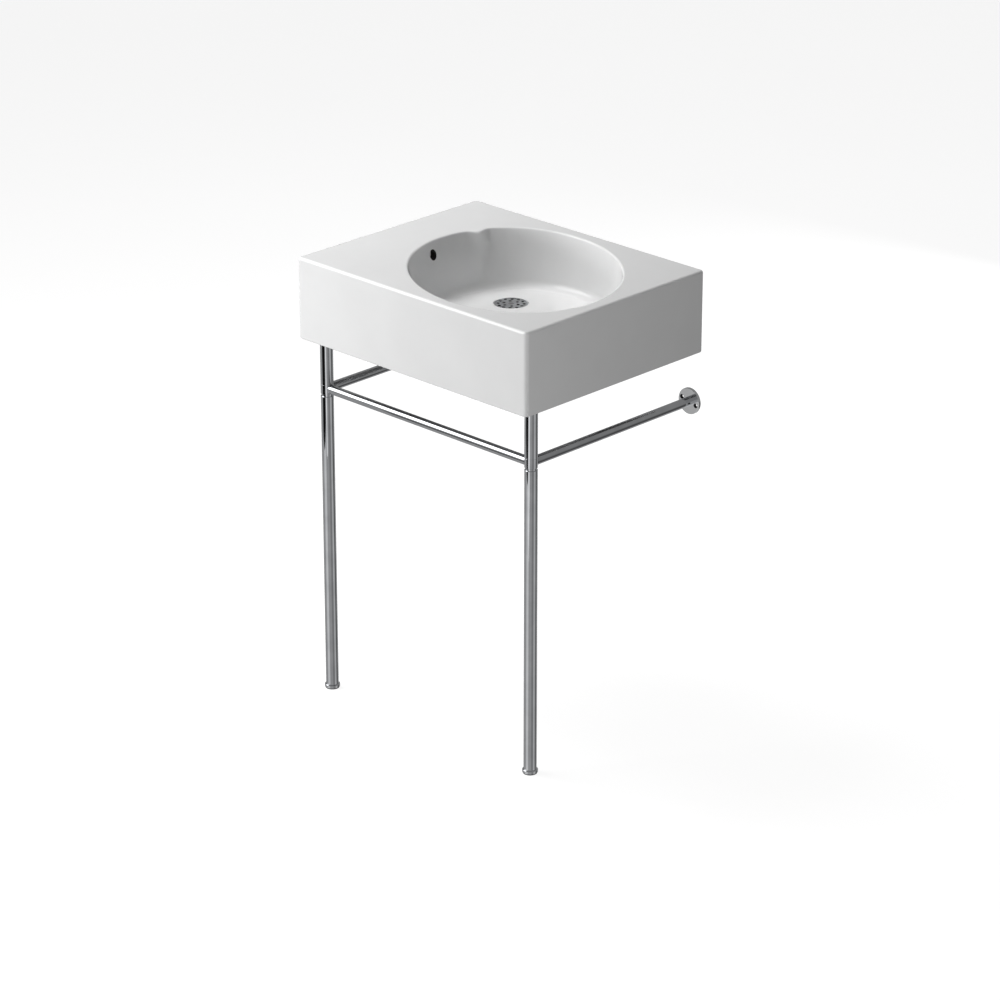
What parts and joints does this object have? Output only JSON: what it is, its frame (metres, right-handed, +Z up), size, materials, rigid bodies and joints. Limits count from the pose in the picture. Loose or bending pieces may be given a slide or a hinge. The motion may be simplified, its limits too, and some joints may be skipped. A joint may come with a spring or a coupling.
{
  "type": "wall-hung basin with console",
  "caption": "Rectangular wall-hung ceramic basin with an oval bowl set to one side, on a chromed console with front legs and towel rails.",
  "frame": {"origin": "middle of the line between the two wall-bolt holes, on the wall plane", "axes": "+X along the wall to the user's right, +Y into the wall, +Z up"},
  "size_m": [0.6, 0.48, 0.9],
  "materials": {
    "glazed_ceramic": "gloss white glaze",
    "chrome": "polished chrome plate",
    "steel": "plain stainless",
    "rubber": "black rubber",
    "plastic": "off-white nylon"
  },
  "bodies": {
    "basin_and_frame": {"basin": "glazed_ceramic", "left_post": "chrome", "right_post": "chrome", "left_corner_joint": "chrome", "right_corner_joint": "chrome", "left_inner_tube": "chrome", "right_inner_tube": "chrome", "left_side_rail": "chrome", "right_side_rail": "chrome", "front_rail": "chrome", "left_wall_flange": "chrome", "right_wall_flange": "chrome", "waste_strainer": "chrome", "waste_body": "chrome", "waste_tailpiece": "chrome", "waste_slip_nut": "chrome", "rail_set_screws": "steel", "waste_centre_screw": "steel", "left_post_cap": "rubber", "right_post_cap": "rubber", "waste_top_seal": "rubber", "waste_bottom_seal": "rubber", "waste_slip_washer": "rubber", "wall_bolt_sleeves": "plastic"},
    "left_leg": {"left_lower_leg": "chrome", "left_foot": "chrome", "left_foot_pad": "rubber", "left_leg_lock_screw": "steel"},
    "right_leg": {"right_lower_leg": "chrome", "right_foot": "chrome", "right_foot_pad": "rubber", "right_leg_lock_screw": "steel"}
  },
  "joints": [
    {"name": "left_leg_height", "type": "slide", "parent": "basin_and_frame", "child": "left_leg", "axis": [0, 0, -1], "range_m": [-0.004, 0.045]},
    {"name": "right_leg_height", "type": "slide", "parent": "basin_and_frame", "child": "right_leg", "axis": [0, 0, -1], "range_m": [-0.004, 0.045]}
  ]
}
